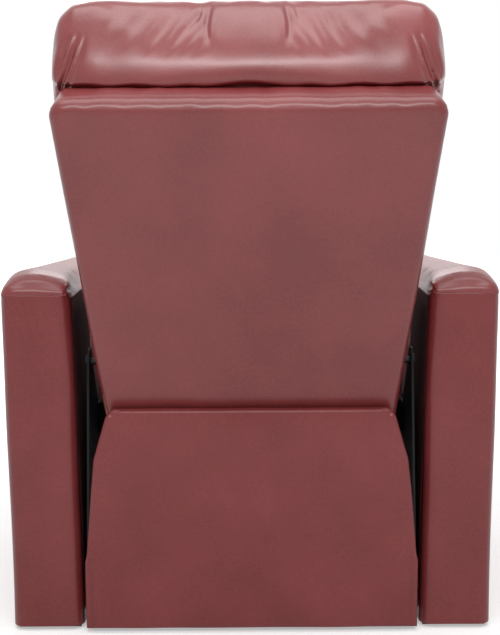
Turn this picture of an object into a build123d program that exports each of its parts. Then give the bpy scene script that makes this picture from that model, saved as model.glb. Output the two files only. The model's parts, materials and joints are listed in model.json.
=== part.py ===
from build123d import *
import math
import os

# A powered cinema recliner seat.  Millimetres, +Z up, front towards -Y.
# The origin is on the floor, under the centre of the seat's outer box.

# ---------------------------------------------------------------- driving sizes
overall_width = 840.0
seat_half_width = 290.0
glide_height = 8.0
skin = 4.0               # upholstery leather with its thin foam backing
seat_gap = 0.3           # space left between pieces that rest on each other
running_gap = 0.05       # radial space between a pin and its bore
side_plate = 4.0         # steel sheet of the mechanism
pin_radius = 6.0

# arms
arm_rear_y = 327.0
arm_front_y = -433.0
arm_seam_z = 591.0       # at the rear
arm_fall = 40.0          # how much lower the arm is at its front
arm_crown = 37.0
arm_seat_gap = 4.0
arm_thinning = 12.0      # how much thinner the arm is at its seam than at the floor
arm_edge_radius = 16.0
arm_board = 12.0

# mechanism
plate_arm_gap = 6.0
plate_top_z = 365.0
plate_low_z = 34.0
recline_pivot_y = 231.0
recline_pivot_z = 463.0
footrest_pivot_y = -413.0
footrest_pivot_z = 372.0
boss_radius = 24.0
pin_head_radius = 11.0
pin_head = 4.0
footrest_turn = 88.0     # the footrest swings up by this much

# base frame
rail_width = 28.0
rail_height = 40.0
rail_floor_gap = 30.0
rail_front_y = -370.0
cross_depth = 25.0
foot_radius = 18.0
foot_inset = 40.0

# base rear panel: half widths going down from its rim
panel_rear_y = 340.0
panel_top_z = 397.0
panel_board = 14.0
panel_arm_gap = 5.0
panel_draws = [(397.0, 53.0), (385.0, 41.0), (365.0, 35.0), (310.0, 19.0), (245.0, 12.0),
               (140.0, 3.0), (128.0, 0.0)]     # height, and how far the edge is drawn in there

# seat
seat_front_y = -452.0
seat_rear_y = 118.0
seat_top_z = 470.0
seat_nose = 20.0
seat_crown = 7.0
seat_end_drop = 26.0
seat_end_run = 34.0
seat_end_draw = 12.0
crown_share = 0.12        # how far a pad is already down where its rounded end starts
timber = 25.0
seat_rail_height = 60.0
seat_rail_front_y = -345.0
wire_radius = 2.0
seat_wire_count = 5
seat_wire_swing = 26.0

# backrest, drawn upright about its pivot and then leaned back
back_lean = 16.1
back_rear_w = 100.0      # from the pivot to the rear face
back_front_w = -3.0
back_low_s = -70.0
back_top_s = 492.0
back_low_half_width = 251.0
back_top_half_width = 311.5
back_corner_radius = 28.0
back_edge_radius = 9.0
back_rail_width = 28.0
back_rail_depth_gap = 0.3
back_cushion_depth = 150.0
back_bracket_low_s = -50.0
back_bracket_high_s = 120.0
back_wire_rows = 5
recline_turn = 40.0

# recline actuator
lever_drop = 150.0       # height from the pivot down to the rod's line
lever_thickness = 8.0
drive_pin_radius = 5.0
drive_pin_play = 0.9
slot_end_play = 1.5
lever_wall = 7.0         # steel left around the slot
rod_radius = 9.0
actuator_tube_radius = 16.0
rod_travel_per_radian = 154.5
fork_back = 30.0
fork_length = 42.0

# footrest
footrest_front_y = -465.0
footrest_low_z = 72.0
footrest_bracket_gap = 4.0
footrest_board = 12.0
footrest_end_draw = 12.0
footrest_end_run = 26.0
footrest_lug_radius = 60.0
drive_tube_y = -262.0
drive_tube_z = 262.0
drive_tube_radius = 12.5
drive_tube_wall = 2.5
link_plate_gap = 6.0
bracket_link_gap = 2.0
link_half_width = 10.0

# switch
switch_y = -250.0
switch_z = 508.0
switch_length = 92.0
switch_height = 38.0
switch_face = 3.0
switch_depth = 18.0
button_radius = 8.0
button_spacing = 40.0
button_rise = 3.0
button_travel = 2.0
button_length = 12.0


# ---------------------------------------------------------------- helpers
nodes = {}


def mirrored(shape):
    return mirror(shape, about=Plane.YZ)


def box(x0, x1, y0, y1, z0, z1):
    size = (x1 - x0, y1 - y0, z1 - z0)
    centre = ((x0 + x1) / 2, (y0 + y1) / 2, (z0 + z1) / 2)
    return Pos(*centre) * Box(*size)


def rod_x(x0, x1, y, z, radius):
    """A round bar along X."""
    return Pos((x0 + x1) / 2, y, z) * Rot(0, 90, 0) * Cylinder(radius, abs(x1 - x0))


def rod_y(y0, y1, x, z, radius):
    """A round bar along Y."""
    return Pos(x, (y0 + y1) / 2, z) * Rot(90, 0, 0) * Cylinder(radius, abs(y1 - y0))


def rod_z(z0, z1, x, y, radius):
    """A round bar along Z."""
    return Pos(x, y, (z0 + z1) / 2) * Cylinder(radius, abs(z1 - z0))


def plate_x(points, x0, thickness):
    """A flat plate whose outline is (y, z) points, from x0 towards +X."""
    wire = Polyline(*[(x0, y, z) for y, z in points], close=True)
    return extrude(make_face(wire), amount=thickness, dir=(1, 0, 0))


def plate_y(points, y0, thickness):
    """A flat plate whose outline is (x, z) points, from y0 towards +Y."""
    wire = Polyline(*[(x, y0, z) for x, z in points], close=True)
    return extrude(make_face(wire), amount=thickness, dir=(0, 1, 0))


def ring_section(x, points):
    """A closed (y, z) outline at x, drawn clockwise.  A third number on a point bows
    the edge that ends there: outwards by that much, or inwards where it is negative."""
    edges = []
    last = points[-1]
    for point in points:
        start = (x, last[0], last[1])
        end = (x, point[0], point[1])
        if len(point) == 3:
            run_y, run_z = point[0] - last[0], point[1] - last[1]
            length = math.hypot(run_y, run_z)
            via = (x, (last[0] + point[0]) / 2 - run_z / length * point[2],
                   (last[1] + point[1]) / 2 + run_y / length * point[2])
            edges.append(ThreePointArc(start, via, end))
        else:
            edges.append(Line(start, end))
        last = point
    return make_face(edges)


def end_stations(half, run):
    """Places along X, each with its share of the draw at a pad's ends: 1 at the very
    end, rounding off over the run, and 0 at the crown in the middle."""
    steps = 3
    side = []
    for index in range(steps + 1):
        angle = math.radians(90 * index / steps)
        share = crown_share + (1 - crown_share) * (1 - math.sin(angle))
        side.append((-half + run * (1 - math.cos(angle)), share))
    return side + [(0.0, 0.0)] + [(-x, share) for x, share in reversed(side)]


def across(sections):
    """A solid through sections that follow each other along X."""
    return loft(sections, ruled=True)


def strap(y0, z0, y1, z1, half, x0, thickness):
    """A flat bar with round ends, in a plane of constant x."""
    length = math.hypot(y1 - y0, z1 - z0)
    ny = -(z1 - z0) / length * half
    nz = (y1 - y0) / length * half
    bar = plate_x([(y0 + ny, z0 + nz), (y0 - ny, z0 - nz), (y1 - ny, z1 - nz), (y1 + ny, z1 + nz)],
                  x0, thickness)
    for y, z in ((y0, z0), (y1, z1)):
        bar = bar + rod_x(x0, x0 + thickness, y, z, half)
    return bar


def leaned(shape):
    """Takes a backrest piece from its upright drawing to its place."""
    return Location((0, recline_pivot_y, recline_pivot_z), (-back_lean, 0, 0)) * shape


def zigzag(start, stop, swing, pitch):
    """Points of a sinuous spring along its length, each (along, sideways)."""
    count = 2 * int((stop - start) / (2 * pitch))
    step = (stop - start) / count
    points = [(start, 0.0)]
    for index in range(count):
        side = swing if index % 2 == 0 else -swing
        points.append((start + step * (index + 0.25), side))
        points.append((start + step * (index + 0.75), side))
    points.append((stop, 0.0))
    return points


# ---------------------------------------------------------------- arms
arm_outer_x = overall_width / 2
arm_inner_low_x = seat_half_width + arm_seat_gap
arm_inner_top_x = arm_inner_low_x + arm_thinning
arm_slope = arm_thinning / (arm_seam_z - glide_height)
arm_length = arm_rear_y - arm_front_y
plate_inner_x = arm_inner_low_x - plate_arm_gap - side_plate
link_inner_x = plate_inner_x - link_plate_gap - side_plate
bracket_inner_x = link_inner_x - bracket_link_gap - side_plate
footrest_half_width = bracket_inner_x - footrest_bracket_gap
bolt_radius = 4.0
bolt_play = 0.2
arm_bolt_places = [(y, z) for y in (-290.0, 190.0) for z in (110.0, 285.0)]


def seam_z(y):
    """Height of the arm's seam, which falls towards the front."""
    return arm_seam_z - arm_fall * (arm_rear_y - y) / arm_length


def under_seam(shape, depth):
    """Cuts a piece of the arm off at a depth below the sloping seam."""
    y0, y1 = arm_front_y - arm_board, arm_rear_y + arm_board
    points = [(y0, -1), (y1, -1), (y1, seam_z(y1) - depth), (y0, seam_z(y0) - depth)]
    return shape & plate_x(points, 0, overall_width)


def arm_inner_x(z):
    return arm_inner_low_x + (z - glide_height) * arm_slope


def arm_prism(inset, z0, z1, y0, y1):
    """The arm's trapezoid, drawn in by an inset on its two sides."""
    outer = arm_outer_x - inset
    points = [(arm_inner_x(z0) + inset, z0), (outer, z0), (outer, z1), (arm_inner_x(z1) + inset, z1)]
    return plate_y(points, y0, y1 - y0)


def upright_edges(shape):
    return [edge for edge in shape.edges() if edge.bounding_box().size.Z > arm_seam_z / 2]


def arm_shell(inset, z0, z1):
    prism = arm_prism(inset, z0, z1, arm_front_y + inset, arm_rear_y - inset)
    return fillet(upright_edges(prism), arm_edge_radius - inset)


def arm_pad():
    """The domed top pad: full height along its length, rounded down at both ends."""
    ends = [(0.0, 0.30), (10.0, 0.70), (28.0, 0.92), (60.0, 1.0)]
    stations = [(arm_front_y + run, share) for run, share in ends]
    stations += [(arm_rear_y - run, share) for run, share in reversed(ends)]
    faces = []
    for y, share in stations:
        low = seam_z(y) + seat_gap
        rise = arm_crown * share
        draw = 5.0 * (1.0 - share)
        inner = arm_inner_top_x + draw
        outer = arm_outer_x - draw
        edges = [
            Line((outer, y, low), (inner, y, low)),
            Line((inner, y, low), (inner, y, low + rise * 0.5)),
            ThreePointArc((inner, y, low + rise * 0.5), (inner + 4, y, low + rise * 0.84),
                          (inner + 16, y, low + rise)),
            ThreePointArc((inner + 16, y, low + rise), (outer - 26, y, low + rise * 0.83),
                          (outer, y, low + rise * 0.2)),
            Line((outer, y, low + rise * 0.2), (outer, y, low)),
        ]
        faces.append(make_face(edges))
    return loft(faces, ruled=True)


def arm_holes(radius):
    return [rod_x(arm_inner_low_x - 20, arm_inner_top_x + arm_board + 8, y, z, radius)
            for y, z in arm_bolt_places]


def switch_box(x_room, y_room, z_room):
    half_length = switch_length / 2 - 6 + y_room
    half_height = switch_height / 2 - 5 + z_room
    face_x = arm_inner_x(switch_z)
    return box(-face_x - switch_depth - x_room, -face_x + 2, switch_y - half_length,
               switch_y + half_length, switch_z - half_height, switch_z + half_height)


def make_arms():
    low = glide_height
    cover = under_seam(arm_shell(0, low, arm_seam_z) - arm_shell(skin, low - 1, arm_seam_z + 1), 0)
    inside = skin + seat_gap
    board_drop = arm_board + seat_gap
    board_top = arm_seam_z - board_drop
    outer = arm_outer_x - inside
    y0 = arm_front_y + inside + arm_edge_radius
    y1 = arm_rear_y - inside - arm_edge_radius
    outer_board = under_seam(box(outer - arm_board, outer, y0, y1, low, board_top), board_drop)
    inner_solid = arm_prism(inside, low, board_top, y0, y1)
    inner_board = inner_solid - arm_prism(inside + arm_board, low - 1, board_top + 1, y0 - 1, y1 + 1)
    inner_board = min(inner_board.solids(), key=lambda piece: piece.center().X)
    inner_board = under_seam(inner_board, board_drop)
    core = arm_prism(inside + arm_board + seat_gap, low, board_top, y0, y1)
    thickness = arm_board
    middle = (y0 + y1) / 2
    ribs = []
    for y in (y0, middle - thickness / 2, y1 - thickness):
        rib = core & box(0, arm_outer_x, y, y + thickness, low, board_top)
        ribs.append(under_seam(rib, board_drop + seat_gap))
    top_board = plate_x([(y0, seam_z(y0) - arm_board), (y1, seam_z(y1) - arm_board),
                         (y1, seam_z(y1)), (y0, seam_z(y0))], arm_inner_top_x + inside,
                        outer - arm_inner_top_x - inside)
    for hole in arm_holes(bolt_radius + bolt_play):
        cover = cover - hole
        inner_board = inner_board - hole
    pad = arm_pad()
    for side, name in ((1, "left"), (-1, "right")):
        def place(shape, side=side):
            return shape if side > 0 else mirrored(shape)
        side_cover = place(cover)
        side_board = place(inner_board)
        if side < 0:
            side_cover = side_cover - switch_box(seat_gap, seat_gap, seat_gap)
            side_board = side_board - switch_box(seat_gap, seat_gap, seat_gap)
        nodes["arm_cover_" + name] = side_cover
        nodes["arm_inner_board_" + name] = side_board
        nodes["arm_outer_board_" + name] = place(outer_board)
        nodes["arm_rib_boards_" + name] = Compound([place(rib) for rib in ribs] + [place(top_board)])
        nodes["arm_pad_" + name] = place(pad)
    glides = []
    glide_x = (arm_inner_low_x + arm_outer_x) / 2
    for side in (1, -1):
        for y in (arm_front_y + foot_inset, arm_rear_y - foot_inset):
            glides.append(box(side * glide_x - 55, side * glide_x + 55, y - 20, y + 20,
                              0, glide_height - seat_gap))
    nodes["arm_glides"] = Compound(glides)
    bolts = []
    spacers = []
    plate_outer = plate_inner_x + side_plate
    for y, z in arm_bolt_places:
        wall = arm_inner_x(z - bolt_radius * 3)
        spacer = rod_x(plate_outer + seat_gap, wall - seat_gap, y, z, bolt_radius * 2)
        spacer = spacer - rod_x(plate_outer - 1, wall + 1, y, z, bolt_radius + bolt_play)
        end_x = arm_inner_x(z) + inside + arm_board + 4
        nut = rod_x(end_x, end_x + 6, y, z, bolt_radius * 1.8)
        head = rod_x(plate_inner_x - seat_gap - 4, plate_inner_x - seat_gap, y, z, bolt_radius * 1.8)
        bolt = head + rod_x(plate_inner_x - seat_gap - 1, end_x + 2, y, z, bolt_radius) + nut
        spacers += [spacer, mirrored(spacer)]
        bolts += [bolt, mirrored(bolt)]
    nodes["arm_bolts"] = Compound(bolts)
    nodes["arm_spacers"] = Compound(spacers)


# ---------------------------------------------------------------- base frame
rail_outer_x = plate_inner_x - seat_gap
rail_inner_x = rail_outer_x - rail_width
rail_top_z = rail_floor_gap + rail_height
panel_inner_y = panel_rear_y - skin
board_inner_y = panel_inner_y - seat_gap - panel_board
cross_half = rail_inner_x - seat_gap
drive_cross_y = -200.0
actuator_line_z = recline_pivot_z - lever_drop


def make_base():
    rail_rear_y = board_inner_y - seat_gap
    wall = 2.0
    rail = box(rail_inner_x, rail_outer_x, rail_front_y, rail_rear_y, rail_floor_gap, rail_top_z)
    bore = box(rail_inner_x + wall, rail_outer_x - wall, rail_front_y - 1, rail_rear_y + 1,
               rail_floor_gap + wall, rail_top_z - wall)
    nodes["base_rail_left"] = rail - bore
    nodes["base_rail_right"] = mirrored(rail - bore)
    crosses = []
    for y in (rail_front_y, rail_rear_y - cross_depth):
        bar = box(-cross_half, cross_half, y, y + cross_depth, rail_floor_gap, rail_top_z)
        crosses.append(bar - box(-cross_half - 1, cross_half + 1, y + wall, y + cross_depth - wall,
                                 rail_floor_gap + wall, rail_top_z - wall))
    nodes["base_cross_tubes"] = Compound(crosses)
    cloth_low = rail_floor_gap - seat_gap - 1.0
    nodes["dust_cloth"] = box(-rail_outer_x, rail_outer_x, rail_front_y, rail_rear_y,
                              cloth_low, cloth_low + 1.0)
    feet = []
    foot_x = (rail_inner_x + rail_outer_x) / 2
    for side in (1, -1):
        for y in (rail_front_y + foot_inset, rail_rear_y - foot_inset):
            feet.append(rod_z(0, cloth_low - seat_gap, side * (foot_x - 4), y, foot_radius))
    nodes["base_feet"] = Compound(feet)

    panel_half_width = arm_inner_low_x - panel_arm_gap
    right = [(panel_half_width - draw, z) for z, draw in panel_draws]
    right.append((panel_half_width, glide_height))
    outline = [(-half, z) for half, z in reversed(right)] + right
    cover = plate_y(outline, panel_inner_y, skin)
    nodes["base_rear_cover"] = cover
    inset = skin - 1.0
    inner = [(half - inset, min(z, panel_top_z - inset)) for half, z in right]
    board_outline = [(-half, z) for half, z in reversed(inner)] + inner
    nodes["base_rear_board"] = plate_y(board_outline, board_inner_y, panel_board)


def mechanism_plate():
    """One side's steel plate, from the footrest pivot back to the recline pivot."""
    boss = boss_radius
    recline = (recline_pivot_y, recline_pivot_z)
    lift = (footrest_pivot_y, footrest_pivot_z)
    rear_y = board_inner_y - 6.0
    points = [(rail_front_y, plate_low_z), (rear_y, plate_low_z), (rear_y, rail_top_z + 60),
              (recline[0] + boss, recline[1]), (recline[0], recline[1] + boss),
              (recline[0] - boss, recline[1]), (recline[0] - boss - 70, plate_top_z),
              (lift[0] + boss * 2, plate_top_z), (lift[0] + 4, lift[1] + boss - 2),
              (lift[0] - boss + 3, lift[1]), (lift[0] + 20, lift[1] - 70), (rail_front_y, 150)]
    plate = plate_x(points, plate_inner_x, side_plate)
    for y, z in (recline, lift):
        disc = rod_x(plate_inner_x, plate_inner_x + side_plate, y, z, boss)
        plate = plate + disc
    for y, z in (recline, lift):
        plate = plate - rod_x(plate_inner_x - 1, plate_inner_x + side_plate + 1, y, z,
                              pin_radius + running_gap)
    plate = plate - rod_x(plate_inner_x - 1, plate_inner_x + side_plate + 1, drive_tube_y,
                          drive_tube_z, drive_tube_radius + running_gap)
    for y, z in arm_bolt_places:
        plate = plate - rod_x(plate_inner_x - 1, plate_inner_x + side_plate + 1, y, z,
                              bolt_radius + bolt_play)
    return plate


def headed_pin(inner_x, y, z):
    """A pin along X from inner_x out through the side plate, with a head outside it."""
    outer = plate_inner_x + side_plate + running_gap
    return (rod_x(inner_x, outer + 1, y, z, pin_radius)
            + rod_x(outer, outer + pin_head, y, z, pin_head_radius))


# ---------------------------------------------------------------- seat
seat_rail_low_z = plate_top_z - seat_rail_height
spring_z = plate_top_z + seat_gap + wire_radius
cushion_low_z = spring_z + wire_radius + seat_gap
knuckle_radius = footrest_pivot_y - footrest_front_y
pocket_radius = knuckle_radius + 6.0


def seat_section(x, drop, draw):
    """The seat cushion's outline at x: crown on top, round nose, hollow under the nose."""
    lip_low = footrest_pivot_z + pocket_radius
    pocket_y = footrest_pivot_y + pocket_radius
    pocket_bow = pocket_radius * (1 - math.sqrt(0.5))
    front = seat_front_y + draw
    rear = seat_rear_y - draw
    top = seat_top_z - drop
    return ring_section(x, [
        (pocket_y, cushion_low_z),
        (footrest_pivot_y, lip_low, -pocket_bow),
        (front + seat_nose, lip_low),
        (front + 2 * seat_nose, top, seat_nose * 0.9),
        (rear - 16, top - 10, seat_crown * (1 - drop / 60)),
        (rear - 4, cushion_low_z, 4.0),
    ])


def make_seat():
    half = seat_half_width
    nodes["seat_cushion"] = across([seat_section(x, seat_end_drop * share, seat_end_draw * share)
                                    for x, share in end_stations(half, seat_end_run)])
    outer = plate_inner_x - seat_gap
    inner = outer - timber
    rear = seat_rear_y - seat_gap
    side = box(inner, outer, seat_rail_front_y, rear, seat_rail_low_z, plate_top_z)
    tube_room = rod_x(inner - 1, outer + 1, drive_tube_y, drive_tube_z, drive_tube_radius + 3)
    side = side - tube_room
    nodes["seat_side_rails"] = Compound([side, mirrored(side)])
    span = inner - seat_gap
    front_bar = box(-span, span, seat_rail_front_y, seat_rail_front_y + timber, seat_rail_low_z,
                    plate_top_z)
    rear_bar = box(-span, span, rear - timber, rear, seat_rail_low_z, plate_top_z)
    tube_notch = actuator_tube_radius + 4
    rear_bar = rear_bar - box(-tube_notch, tube_notch, rear - timber - 1, rear + 1,
                              seat_rail_low_z - 1, actuator_line_z + tube_notch)
    nodes["seat_front_rail"] = front_bar
    nodes["seat_rear_rail"] = rear_bar
    wires = []
    for index in range(seat_wire_count):
        x = (index - (seat_wire_count - 1) / 2) * 2 * span / seat_wire_count
        track = zigzag(seat_rail_front_y + 6, rear - 6, seat_wire_swing, 24.0)
        path = FilletPolyline(*[(x + across_x, along, spring_z) for along, across_x in track],
                              radius=6.0)
        wires.append(sweep(Plane(origin=path @ 0, z_dir=path % 0) * Circle(wire_radius), path=path))
    nodes["seat_springs"] = Compound([solid for wire in wires for solid in wire.solids()])
    low = actuator_line_z - 13
    nodes["actuator_cross_tube"] = (
        box(-span, span, drive_cross_y, drive_cross_y + cross_depth, low, low + 26)
        - box(-span - 1, span + 1, drive_cross_y + 2, drive_cross_y + cross_depth - 2, low + 2,
              low + 24))


# ---------------------------------------------------------------- backrest
back_slope = (back_top_half_width - back_low_half_width) / (back_top_s - back_low_s)
cushion_back_w = back_front_w - 2 * wire_radius - 2 * seat_gap
lumbar_top_s = 204.0
pillow_low_s = 400.0
pillow_high_s = 628.0
lumbar_half_width = 272.0
upper_half_width = 286.0
pillow_half_width = 318.0
pillow_end_drop = 58.0
pillow_end_run = 62.0
lever_pin_y = recline_pivot_y + rod_travel_per_radian * math.radians(recline_turn) / 2
slot_far = math.hypot(lever_drop, lever_pin_y - recline_pivot_y) + slot_end_play
slot_near = lever_drop - slot_end_play
slot_angle = math.radians(recline_turn / 2 + back_lean)


def on_slot_line(radius):
    """A (w, s) place on the recline lever's slot line, at a radius from the pivot."""
    return (radius * math.sin(slot_angle), -radius * math.cos(slot_angle))


def back_outline(inset, w, low_s, top_s):
    """The tapered outline of the back, drawn in by an inset, as a face at depth w."""
    def half(s):
        return back_low_half_width + (s - back_low_s) * back_slope - inset
    points = [(-half(low_s), w, low_s), (half(low_s), w, low_s),
              (half(top_s), w, top_s), (-half(top_s), w, top_s)]
    return make_face(Polyline(*points, close=True))


def back_prism(inset, w0, w1, low_s, top_s, corner):
    face = back_outline(inset, w0, low_s, top_s)
    solid = extrude(face, amount=w1 - w0, dir=(0, 1, 0))
    top_edges = [edge for edge in solid.edges()
                 if abs(edge.center().Z - top_s) < 0.01 and edge.bounding_box().size.Y > 1
                 and edge.bounding_box().size.X < 1]
    return fillet(top_edges, corner)


def back_pad(half, run, outline):
    """A back pad through sections along X, drawn in at its ends and leaned into place."""
    return leaned(across([ring_section(x, outline(share)) for x, share in end_stations(half, run)]))


def lumbar_outline(draw):
    """The lower back pad; its tail fills the space behind the seat cushion."""
    d = 26.0 * draw
    front = cushion_back_w - back_cushion_depth + d
    tail_w = back_front_w - boss_radius
    return [
        (tail_w, -60.0 + d / 2),
        (-84.0, -60.0 + d / 2),
        (-100.0, -24.0 + d / 3, 2.0),
        (-138.0 + d, -20.0 + d / 2),
        (front + 4, 30.0, 10.0),
        (front + 14, 168.0 - d / 3, 10.0),
        (cushion_back_w, lumbar_top_s - d / 3, 16.0),
        (cushion_back_w, 52.0),
        (tail_w, 36.0),
    ]


def upper_outline(draw):
    """The upper back pad, between the lower one and the pillow."""
    d = 24.0 * draw
    low = lumbar_top_s + 12.0 + d / 3
    high = pillow_low_s - 12.0 - d / 3
    front = cushion_back_w - back_cushion_depth + 20 + d
    return [
        (cushion_back_w, low),
        (front + 12, low + 26, 8.0),
        (front + 14, high - 26, 9.0),
        (cushion_back_w, high, 8.0),
    ]


def pillow_outline(draw):
    """The pillow: thick at its middle, over the frame's front upper edge."""
    d = 34.0 * draw
    low = pillow_low_s + d
    high = pillow_high_s - pillow_end_drop * draw
    crease = back_top_s + 3.0
    front = cushion_back_w - 158.0 + d
    return [
        (cushion_back_w, low),
        (front + 6, low + 56, 16.0),
        (front + 30, high - 44, 12.0),
        (-44.0 - d / 4, high - 12, 16.0),
        (cushion_back_w, crease, 14.0 - d / 5),
    ]


def make_back():
    top_in = skin + seat_gap
    shell = back_prism(0, back_front_w, back_rear_w, back_low_s, back_top_s, back_corner_radius)
    rear_edges = [edge for edge in shell.edges() if abs(edge.center().Y - back_rear_w) < 0.01
                  and edge.center().Z > back_low_s + 1]
    shell = fillet(rear_edges, back_edge_radius)
    hollow = back_prism(skin, back_front_w - 1, back_rear_w - skin, back_low_s - 1,
                        back_top_s - skin, back_corner_radius - skin)
    pin_room = rod_x(-overall_width / 2, overall_width / 2, 0, 0, pin_radius * 2)
    nodes["back_cover"] = leaned(shell - hollow - pin_room)

    rail_low_s = back_low_s + skin
    rail_top_s = back_top_s - top_in
    rear_w = back_rear_w - skin - back_rail_depth_gap
    core = back_prism(top_in, back_front_w, rear_w, rail_low_s, rail_top_s,
                      back_corner_radius - top_in)
    inner = back_prism(top_in + back_rail_width, back_front_w - 1, rear_w + 1, rail_low_s - 1,
                       rail_top_s + 1, 1.0)
    cap_s = rail_top_s - back_corner_radius - 2
    side = (core - inner) & box(0, overall_width, -200, 200, rail_low_s, cap_s - seat_gap)
    rail_bore = rod_x(0, overall_width, 0, 0, pin_radius + 0.4)
    side = side - rail_bore
    nodes["back_rail_left"] = leaned(side)
    nodes["back_rail_right"] = leaned(mirrored(side))
    nodes["back_top_rail"] = leaned(core & box(-overall_width, overall_width, -200, 200, cap_s,
                                               rail_top_s + 1))
    bracket_inset = top_in + back_rail_width + seat_gap
    gap_inner = back_prism(bracket_inset + side_plate + seat_gap, back_front_w - 1, rear_w + 1,
                           rail_low_s - 1, rail_top_s + 1, 1.0)
    bottom_high_s = rail_low_s + 32.0
    nodes["back_bottom_rail"] = leaned(gap_inner & box(-overall_width, overall_width, back_front_w,
                                                       rear_w, rail_low_s, bottom_high_s))
    band = (back_prism(bracket_inset, -40, 90, -80, 200, 1.0)
            - back_prism(bracket_inset + side_plate, -41, 91, -81, 201, 1.0))
    profile = [(-boss_radius + 4, 0), (0, -boss_radius + 4), (20, back_bracket_low_s),
               (70, back_bracket_low_s), (80, back_bracket_high_s), (30, back_bracket_high_s),
               (0, boss_radius - 4)]
    bracket = band & plate_x(profile, 0, overall_width / 2)
    bracket = bracket - rod_x(0, overall_width, 0, 0, pin_radius + running_gap)
    nodes["back_bracket_left"] = leaned(bracket)
    nodes["back_bracket_right"] = leaned(mirrored(bracket))

    wires = []
    rows = back_wire_rows
    first_s = boss_radius + 26.0
    last_s = cap_s - 40.0
    wire_w = back_front_w - seat_gap - wire_radius
    for index in range(rows):
        s = first_s + (last_s - first_s) * index / (rows - 1)
        reach = back_low_half_width + (s - back_low_s) * back_slope - top_in - 12
        track = zigzag(-reach, reach, 20.0, 24.0)
        path = FilletPolyline(*[(along, wire_w, s + sideways) for along, sideways in track],
                              radius=6.0)
        wires.append(sweep(Plane(origin=path @ 0, z_dir=path % 0) * Circle(wire_radius), path=path))
    nodes["back_springs"] = leaned(Compound([solid for wire in wires for solid in wire.solids()]))

    nodes["lumbar_cushion"] = back_pad(lumbar_half_width, 40.0, lumbar_outline)
    nodes["back_cushion"] = back_pad(upper_half_width, 40.0, upper_outline)
    nodes["headrest_pillow"] = back_pad(pillow_half_width, pillow_end_run, pillow_outline)

    half = lever_thickness / 2
    flange_top = rail_low_s - seat_gap
    flange = box(-30, 30, 20, rear_w, flange_top - side_plate, flange_top)
    web_half = drive_pin_radius + drive_pin_play + lever_wall
    far, near = on_slot_line(slot_far), on_slot_line(slot_near)
    web = strap(far[0], far[1], near[0], near[1], web_half, -half, lever_thickness)
    web = web + plate_x([(34, flange_top), (90, flange_top), (far[0] + web_half * 0.8, far[1] + 8),
                         (near[0] - web_half * 0.8, near[1] - 8)], -half, lever_thickness)
    slot = strap(far[0], far[1], near[0], near[1], drive_pin_radius + drive_pin_play, -half - 1,
                 lever_thickness + 2)
    nodes["recline_lever"] = leaned(web + flange - slot)


# ---------------------------------------------------------------- recline actuator
def make_actuator():
    z = actuator_line_z
    fork_root = lever_pin_y - fork_back
    cheek = 5.5
    gap = lever_thickness / 2 + 0.5
    fork = box(-gap - cheek, gap + cheek, fork_root, fork_root + fork_length, z - 9, z + 9)
    fork = fork - box(-gap, gap, fork_root + 8, fork_root + fork_length + 1, z - 10, z + 10)
    rod_start = 40.0
    moving = rod_y(rod_start, fork_root + 2, 0, z, rod_radius) + fork
    moving = moving + rod_x(-gap - cheek - 3, gap + cheek + 3, lever_pin_y, z, drive_pin_radius)
    nodes["actuator_rod"] = moving
    housing_front = drive_cross_y + cross_depth + seat_gap
    housing = box(-25, 25, -150, -90, z - 75, z + 24) + box(-12, 12, housing_front, -149, z - 12, z + 12)
    nodes["actuator_housing"] = housing
    tube = rod_y(-90 + seat_gap, 140, 0, z, actuator_tube_radius)
    tube = tube - rod_y(-80, 141, 0, z, rod_radius + running_gap)
    nodes["actuator_tube"] = tube
    nodes["actuator_motor"] = rod_y(-90 + seat_gap, 15, 0, z - 52, 20)


# ---------------------------------------------------------------- footrest drive
def crank_arm(y, z):
    """A crank's end at rest for a pivot at (y, z): half the footrest's turn before it
    stands square to the line between the two pivots."""
    along = math.atan2(footrest_pivot_z - drive_tube_z, footrest_pivot_y - drive_tube_y)
    turn = along + math.pi / 2 + math.radians(footrest_turn / 2)
    return (y + footrest_lug_radius * math.cos(turn), z + footrest_lug_radius * math.sin(turn))


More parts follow.
